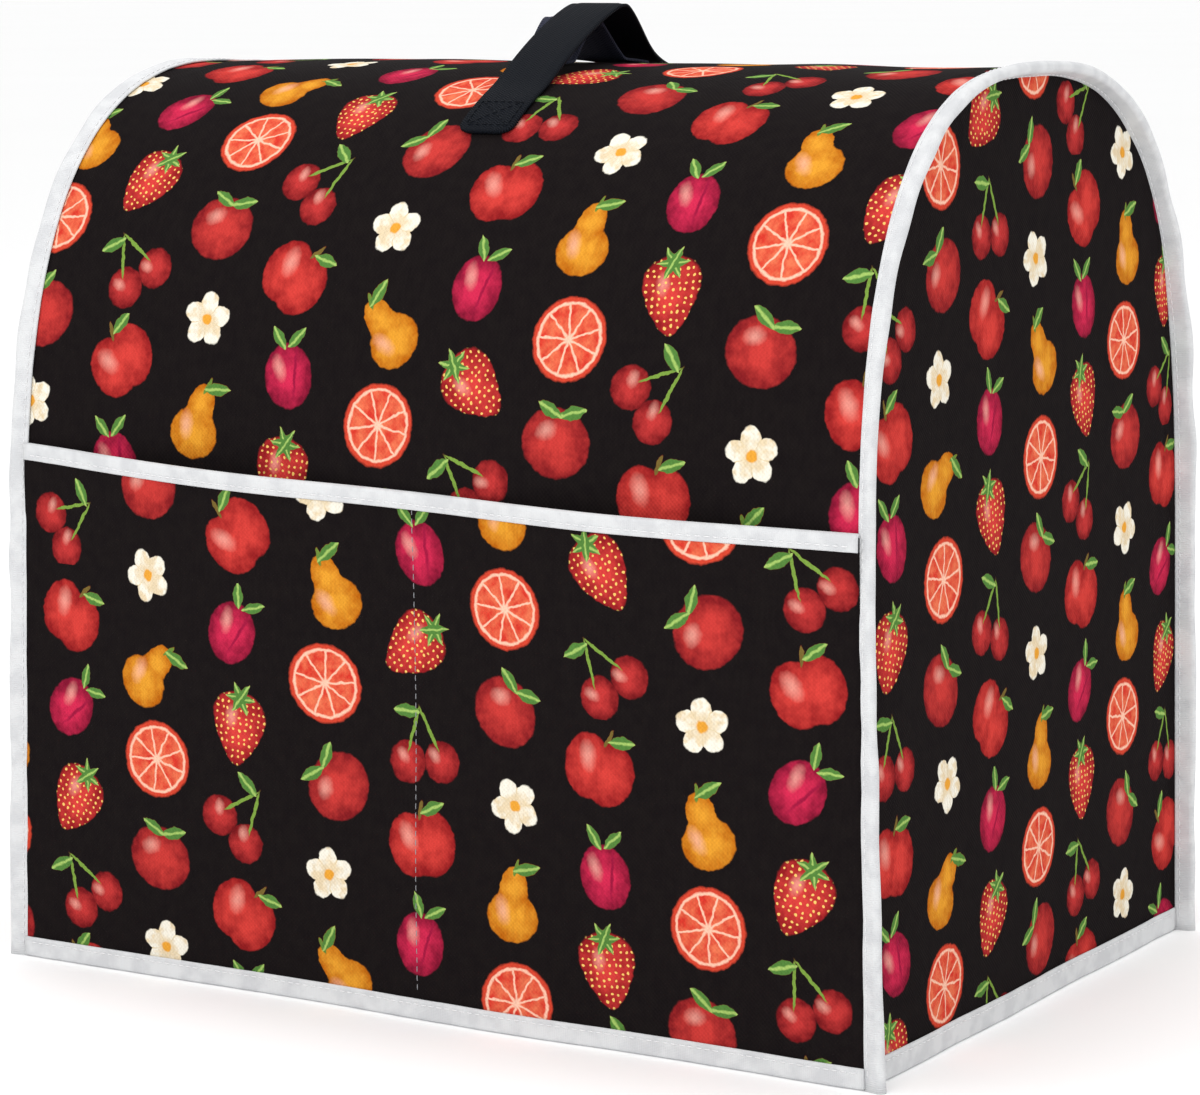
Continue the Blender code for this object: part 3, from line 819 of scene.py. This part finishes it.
def stitch_row(name, points, outs, thread, pitch=STITCH_PITCH, radius=STITCH_RADIUS):
    """A row of stitches along a line of points: short swellings of thread that dive in at both ends."""
    points = np.array(points, dtype=float)
    outs = np.array(outs, dtype=float)
    lengths = np.concatenate([[0], np.cumsum(np.linalg.norm(np.diff(points, axis=0), axis=1))])
    count = max(1, int((lengths[-1] - STITCH) / pitch) + 1)
    starts = np.arange(count) * pitch + (lengths[-1] - STITCH - (count - 1) * pitch) / 2
    shares = (0.0, 0.12, 0.5, 0.88, 1.0)
    sizes = (0.25, 0.8, 1.0, 0.8, 0.25)
    lifts = (-0.9, 0.1, 0.45, 0.1, -0.9)
    around = 6
    rings = []

    def between(at, values):
        return np.stack([np.interp(at, lengths, values[:, k]) for k in range(3)], 1)

    for share, size, lift in zip(shares, sizes, lifts):
        at = starts + STITCH * share
        middle = between(at, points)
        out = between(at, outs)
        aside = np.cross(between(at + 0.0004, points) - between(at - 0.0004, points), out)
        aside /= np.linalg.norm(aside, axis=1)[:, None]
        middle = middle + out * (lift * radius)
        ring = []
        for k in range(around):
            angle = 2 * math.pi * k / around
            spread = aside * math.cos(angle) + out * math.sin(angle)
            ring.append(middle + spread * (size * radius))
        rings.append(np.stack(ring, 1))
    vertices = np.stack(rings, 1).reshape(-1, 3)
    faces = []
    for stitch in range(count):
        base = stitch * len(shares) * around
        for ring in range(len(shares) - 1):
            for k in range(around):
                a = base + ring * around + k
                b = base + ring * around + (k + 1) % around
                faces.append((a, b, b + around, a + around))
        faces.append(tuple(base + k for k in reversed(range(around))))
        last = base + (len(shares) - 1) * around
        faces.append(tuple(last + k for k in range(around)))
    return make_piece(name, vertices, np.zeros((len(vertices), 2)), faces, (thread,))


# Canvas panels


def long_panel():
    """Front, top and back in one length, with an allowance turned into the flange at each side."""

    def place(column, row):
        distance = float(PANEL_STATIONS[row])
        if column in (0, COLUMNS + 2):
            side = -1 if column == 0 else 1
            point = on_flange(side, distance, SEAM_ALLOWANCE, 0)
        else:
            point = on_long_panel(2 * (column - 1) / COLUMNS - 1, distance)
        return point, (point.x, distance)

    return cloth("front_top_and_back", COLUMNS + 2, ROWS, place, "main_panel")


def side_panel(name, side, node):
    """An arched end. Its grid's outermost faces are its allowance, round the arch but not at the hem."""
    last = TOP_ROWS + 2

    def place(column, row):
        if row <= SIDE_ROWS and 0 < column < last:
            point = side_field_point(side, column - 1, row)
        elif row > SIDE_ROWS:
            beside = {0: 0.0, 1: 0.25, last - 1: TOP_ROWS - 0.25, last: float(TOP_ROWS)}
            point = side_edge_point(side, SIDE_ROWS + beside.get(column, column - 1.0))
        else:
            along = SIDE_ROWS - 0.25 if row == SIDE_ROWS else float(row)
            point = side_edge_point(side, along if column == 0 else ROWS - along)
        return point, (SIDE_CUT_ACROSS + side * (SIDE_CUTS_APART + point.y), point.z + SIDE_CUT_UP)

    return cloth(name, last, SIDE_ROWS + 1, place, node, flip=side < 0)


def pocket_panel():
    """One cloth over the lower front, cut from another part of the print."""

    def place(column, row):
        across = 2 * column / COLUMNS - 1
        share = (row / POCKET_ROWS) ** 0.85
        point = on_pocket(across, share)
        return point, (point.x + POCKET_CUT_ACROSS, share * pocket_top(across) + POCKET_CUT_UP)

    return cloth("pocket_front", COLUMNS, POCKET_ROWS, place, "pocket_panel")


# Binding tapes

FOLD_HALF = CLOTH / 2 + GAP / 2 + TAPE / 2


def tape_pull(along, place):
    """Slight swelling and sinking of a tape along its length."""
    return TAPE_SWELL * noise.noise(Vector((along / 0.014, place, 0.5)))


def seam_tape(name, side, node):
    """Tape folded over a side seam's flange, up the front, over the top and down the back."""
    middle = -(CLOTH + GAP) / 2
    half = CLOTH + GAP + TAPE / 2
    leg = FLANGE_LEG - FLANGE_ROOT

    def place(row, along, across):
        distance = float(STATIONS[row])
        swell = tape_pull(distance, side + (3 if across > 0 else 6)) * (1 if across > 0 else -1)
        longer = 1 + 1.6 * tape_pull(distance * 0.6, side + 9) / 0.0022
        return on_flange(side, distance, FLANGE_ROOT + along * longer, middle + across + swell)

    return swept(name, ROWS, folded_outline(leg, half), place, (BINDING,), node)


def seam_tape_stitches(name, side, leg):
    """The row of stitches along one leg of a side seam's tape: 1 is the leg towards the long panel."""
    middle = -(CLOTH + GAP) / 2
    up = middle + leg * (CLOTH + GAP + TAPE)
    distances = np.linspace(0.004, ARCH_LENGTH - 0.004, 700)
    points = []
    outs = []
    for distance in distances:
        swell = tape_pull(distance, side + (3 if leg > 0 else 6)) * leg
        inset = FLANGE_ROOT + STITCH_INSET / flange_reach(side, distance)
        low = on_flange(side, distance, inset, up + swell)
        high = on_flange(side, distance, inset, up + swell + leg * 0.001)
        points.append(low)
        outs.append((high - low).normalized())
    return stitch_row(name, points, outs, WHITE_THREAD, radius=SEAM_STITCH_RADIUS)


def long_hem_point(back, across, out, height):
    """A place on the front or back hem, out of the cloth. In front the tape holds the pocket too."""
    distance = ARCH_LENGTH - height if back else height
    if out > 0 and not back:
        top = pocket_top(across)
        out += pocket_lift(across, max(0.0, height - EDGE_RAISE) / (top - EDGE_RAISE), top)
    if out > 0:
        out += tape_pull(across * TOP_HALF_WIDTH, 12 if back else 15)
    return on_long_panel(across, distance, out)


def long_hem_tape(name, back, node):
    """Tape folded over the front or the back hem, which the cover stands on."""
    outline = folded_outline(HEM_TAPE_HEIGHT - FOLD_HALF - TAPE / 2, FOLD_HALF)

    def place(row, along, across_tape):
        longer = END_LAP - (2 * TAPE if across_tape < 0 else 0)
        across = (2 * row / COLUMNS - 1) * (1 + longer / half_width(0))
        return long_hem_point(back, across, across_tape, HEM_TAPE_HEIGHT - along)

    return swept(name, COLUMNS, outline, place, (BINDING,), node)


def side_hem_tape(name, side, node):
    """Tape folded over a side panel's hem, between the two side seams' tapes."""
    outline = folded_outline(SIDE_HEM_TAPE_HEIGHT - FOLD_HALF - TAPE / 2, FOLD_HALF)

    def place(row, along, across_tape):
        y = (2 * row / COLUMNS - 1) * (HALF_DEPTH - SIDE_HEM_END_GAP) + BOX_SHIFT
        height = SIDE_HEM_TAPE_HEIGHT - along
        out = across_tape + (tape_pull(y, side + 18) if across_tape > 0 else 0)
        return Vector((side * (side_width(side, y, height) + out), y, height))

    return swept(name, COLUMNS, outline, place, (BINDING,), node)


def hem_stitches():
    """Rows of stitches just under the upper edge of each hem tape."""
    made = []
    height = HEM_TAPE_HEIGHT - STITCH_INSET
    out = FOLD_HALF + TAPE / 2
    for name, back in (("front", False), ("back", True)):
        shares = np.linspace(-ROW_END, ROW_END, 400)
        points = [long_hem_point(back, across, out, height) for across in shares]
        outs = [(0, 1 if back else -1, 0)] * len(points)
        made.append(stitch_row(f"hem_stitches_{name}", points, outs, WHITE_THREAD))
    height = SIDE_HEM_TAPE_HEIGHT - STITCH_INSET
    for name, side in (("left", -1), ("right", 1)):
        depths = np.linspace(-SIDE_ROW_END, SIDE_ROW_END, 300) + BOX_SHIFT
        widths = [side_width(side, y, height) + out + tape_pull(y, side + 18) for y in depths]
        points = [(side * width, y, height) for y, width in zip(depths, widths)]
        outs = [(side, 0, 0)] * len(points)
        made.append(stitch_row(f"hem_stitches_{name}", points, outs, WHITE_THREAD))
    return made


def pocket_tape():
    """Tape folded over the pockets' mouth."""
    outline = folded_outline(POCKET_TAPE_HEIGHT, FOLD_HALF)

    def place(row, along, across_tape):
        across = 2 * row / COLUMNS - 1
        height = along - POCKET_TAPE_HEIGHT
        out = across_tape + (tape_pull(across * TOP_HALF_WIDTH, 21) if across_tape > 0 else 0)
        return on_pocket(across, 1 + height / (pocket_top(across) - EDGE_RAISE), out)

    piece = swept("pocket_tape", COLUMNS, outline, place, (BINDING,), "pocket_binding")
    shares = np.linspace(-ROW_END, ROW_END, 400)
    height = STITCH_INSET - POCKET_TAPE_HEIGHT
    points = []
    for across in shares:
        out = FOLD_HALF + TAPE / 2 + tape_pull(across * TOP_HALF_WIDTH, 21)
        points.append(on_pocket(across, 1 + height / (pocket_top(across) - EDGE_RAISE), out))
    outs = [(0, -1, 0)] * len(points)
    return piece, stitch_row("pocket_tape_stitches", points, outs, WHITE_THREAD)


def pocket_divider():
    """The upright row of stitches that parts the pocket in two."""
    top = (pocket_top(0) - POCKET_TAPE_HEIGHT) / pocket_top(0)
    shares = np.linspace(0.05, top, 300)
    points = [on_pocket(0.0, share, CLOTH * 0.45) for share in shares]
    outs = [(0, -1, 0)] * len(points)
    name = "pocket_divider_stitches"
    return stitch_row(name, points, outs, GREY_THREAD, radius=DIVIDER_STITCH_RADIUS)


# Handle


class Strap:
    """A length of webbing over the top, from a front end to a back end in depth."""

    def __init__(self, front_end, back_end, height_at, centre_at):
        self.fine = np.linspace(front_end, back_end, 1200)
        self.heights = np.array([height_at(y) for y in self.fine])
        steps = np.hypot(np.diff(self.fine), np.diff(self.heights))
        self.lengths = np.concatenate([[0], np.cumsum(steps)])
        self.length = float(self.lengths[-1])
        self.centre_at = centre_at

    def point(self, length, across, out):
        """A place at a length from the front end, across from its middle line and out of its middle."""
        at = (length, length + 0.0006, length - 0.0006)
        y, ahead_y, behind_y = (float(v) for v in np.interp(at, self.lengths, self.fine))
        z, ahead_z, behind_z = (float(v) for v in np.interp(at, self.lengths, self.heights))
        run = math.hypot(ahead_y - behind_y, ahead_z - behind_z)
        up = Vector((0, -(ahead_z - behind_z) / run, (ahead_y - behind_y) / run))
        return Vector((self.centre_at(y) + across, y, z)) + up * out

    def half_width(self, length):
        to_end = max(0.0, min(length, self.length - length, STRAP_CORNER))
        return STRAP_WIDTH / 2 - STRAP_CORNER + math.sqrt(STRAP_CORNER**2 - (STRAP_CORNER - to_end) ** 2)

    def piece(self, name, node, webbing_finish):
        """The webbing itself, with rounded selvedges and a slight rib along each."""
        columns = 14
        top = [(2 * k / columns - 1) for k in range(columns + 1)]
        outline = [(share * 0.97, 0.34 if k in (1, columns - 1) else 0.5) for k, share in enumerate(top)]
        outline[0] = (-0.985, 0.36)
        outline[-1] = (0.985, 0.36)
        outline += [(1.0, 0.0)]
        outline += [(share, -high) for share, high in reversed(outline[: columns + 1])]
        outline += [(-1.0, 0.0)]
        outline = [(share * STRAP_WIDTH / 2, high * WEBBING) for share, high in reversed(outline)]

        def place(row, across, out):
            length = self.length * row / STRAP_ROWS
            return self.point(length, across / (STRAP_WIDTH / 2) * self.half_width(length), out)

        return swept(name, STRAP_ROWS, outline, place, (webbing_finish,), node)

    def sewn_line(self, name, places):
        """Stitches through corners, each a length from the front end and a share of the half width."""
        points = []
        for (length, share), (next_length, next_share) in zip(places, places[1:]):
            for part in np.linspace(0, 1, 40):
                at = length + (next_length - length) * part
                across = (share + (next_share - share) * part) * STRAP_WIDTH / 2
                points.append(self.point(at, across, WEBBING / 2))
        outs = [(0, -0.3, 0.95)] * len(points)
        return stitch_row(name, points, outs, DARK_THREAD, pitch=0.0032)


def handle_height(y):
    free = free_height(y, STRAP_APEX_RISE, STRAP_FRONT_SLOPE, STRAP_FRONT_CURVE, STRAP_BACK_SLOPE)
    return upper_of(top_height(y, SEAT), free)


def handle_centre(y):
    skewed = STRAP_SKEW * smooth(y / STRAP_FRONT_END) - STRAP_BACK_SKEW * smooth(y / STRAP_BACK_LANDING)
    return STRAP_CENTRE + skewed


def under_strap_height(y):
    rise = STRAP_APEX_RISE - UNDER_STRAP_DROP
    free = free_height(y, rise, UNDER_STRAP_SLOPE, 0.0, UNDER_STRAP_BACK_SLOPE)
    return upper_of(top_height(y, SEAT), free)


def under_strap_centre(_):
    return STRAP_CENTRE + UNDER_STRAP_SHIFT


def handle():
    """The carrying strap with a sewn box at each end, and the shorter strap under it."""
    carry = Strap(STRAP_FRONT_END, STRAP_BACK_END, handle_height, handle_centre)
    under = Strap(UNDER_STRAP_FRONT_END, UNDER_STRAP_BACK_END, under_strap_height, under_strap_centre)
    carried = carry.piece("handle_webbing", "handle_strap", BLACK_WEBBING)
    below = under.piece("handle_under_webbing", "handle_under_strap", GREY_WEBBING)
    sewn = []
    ends = (("front", BOX_NEAR, BOX_FAR), ("back", carry.length - BOX_NEAR, carry.length - BOX_FAR))
    for name, near, far in ends:
        corners = ((near, -1), (near, 1), (far, 1), (far, -1), (near, -1))
        box = [(length, side * BOX_SHARE) for length, side in corners]
        cross = [(near, -CROSS_SHARE), (far, CROSS_SHARE)]
        second = [(near, CROSS_SHARE), (far, -CROSS_SHARE)]
        for row, places in (("box", box), ("cross", cross), ("second_cross", second)):
            sewn.append(carry.sewn_line(f"handle_{row}_stitches_{name}", places))
    return carry, under, carried, below, sewn


# The cover, put together

panel = long_panel()
left_end = side_panel("left_end", -1, "side_panel_left")
right_end = side_panel("right_end", 1, "side_panel_right")
pocket = pocket_panel()
divider = pocket_divider()
mouth_tape, mouth_stitches = pocket_tape()
left_tape = seam_tape("left_seam_tape", -1, "edge_binding_left")
right_tape = seam_tape("right_seam_tape", 1, "edge_binding_right")
front_hem = long_hem_tape("front_hem_tape", False, "hem_binding_front")
back_hem = long_hem_tape("back_hem_tape", True, "hem_binding_back")
left_hem = side_hem_tape("left_hem_tape", -1, "hem_binding_left")
right_hem = side_hem_tape("right_hem_tape", 1, "hem_binding_right")
hem_rows = hem_stitches()
seam_rows = []
for name, side in (("left", -1), ("right", 1)):
    outer = seam_tape_stitches(f"{name}_seam_stitches_outer", side, 1)
    inner = seam_tape_stitches(f"{name}_seam_stitches_inner", side, -1)
    seam_rows.append([outer, inner])
carry_strap, lower_strap, handle_piece, under_piece, handle_sewing = handle()

arch_area = 0.5 * abs(float(np.dot(ARCH_Y, np.roll(ARCH_Z, -1)) - np.dot(ARCH_Z, np.roll(ARCH_Y, -1))))
for tape, end, rows in zip((left_tape, right_tape), (left_end, right_end), seam_rows):
    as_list(rows)
hems = ((front_hem, panel, half_width(0)), (back_hem, panel, half_width(0)))
hems += ((left_hem, left_end, HALF_DEPTH), (right_hem, right_end, HALF_DEPTH))
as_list(handle_sewing)


# Studio


def pale_floor():
    """A wide matt sheet of studio paper, which fills the picture behind the cover."""
    made, add, coat = finish("studio_paper", 0.9, specular=0.2)
    place = add("TexCoord")[3]
    cloud = add("TexNoise", place, 0.6, 2.0)[0]
    coat("Base Color", add("Mix", cloud, linear("#FBFBFB"), linear("#FEFEFE")))
    mesh = bpy.data.meshes.new("studio_floor")
    mesh.from_pydata([(-40, -40, 0), (40, -40, 0), (40, 60, 0), (-40, 60, 0)], [], [(0, 1, 2, 3)])
    floor = bpy.data.objects.new("studio_floor", mesh)
    mesh.materials.append(made)
    bpy.context.scene.collection.objects.link(floor)


def soft_light(name, place, size, watts):
    """A large square lamp that looks at the middle of the cover."""
    lamp = bpy.data.lights.new(name, "AREA")
    lamp.size = size
    lamp.energy = watts
    holder = bpy.data.objects.new(name, lamp)
    holder.location = place
    aim = Vector((0, 0, 0.18)) - Vector(place)
    holder.rotation_euler = aim.to_track_quat("-Z", "Y").to_euler()
    bpy.context.scene.collection.objects.link(holder)


# The photograph's camera, found from the cover's own edges
CAMERA_LENS = 118.02
CAMERA_AZIMUTH = math.radians(31.06)
CAMERA_ELEVATION = math.radians(8.28)
CAMERA_DISTANCE = 1.639
CAMERA_AIM = Vector((-0.0052, BOX_SHIFT, 0.1675))


def studio():
    pale_floor()
    bpy.context.scene.view_settings.view_transform = "Standard"
    world = bpy.data.worlds.new("studio_air")
    world.use_nodes = True
    sky = world.node_tree.nodes["Background"]
    sky.inputs["Color"].default_value = (1, 1, 1, 1)
    sky.inputs["Strength"].default_value = 1.0
    bpy.context.scene.world = world
    soft_light("front_softbox", (0.4, -2.6, 1.3), 1.2, 24)
    soft_light("right_softbox", (2.7, -0.3, 1.0), 1.2, 7)
    soft_light("top_softbox", (-0.2, 0.1, 2.2), 1.6, 16)
    camera = bpy.data.cameras.new("photo_camera")
    camera.sensor_fit = "HORIZONTAL"
    camera.sensor_width = 36
    camera.lens = CAMERA_LENS
    camera.clip_end = 200
    holder = bpy.data.objects.new("photo_camera", camera)
    away = Vector((math.sin(CAMERA_AZIMUTH), -math.cos(CAMERA_AZIMUTH), 0)) * math.cos(CAMERA_ELEVATION)
    away.z = math.sin(CAMERA_ELEVATION)
    holder.location = CAMERA_AIM + CAMERA_DISTANCE * away
    holder.rotation_euler = (-away).to_track_quat("-Z", "Y").to_euler()
    bpy.context.scene.collection.objects.link(holder)
    bpy.context.scene.camera = holder


studio()
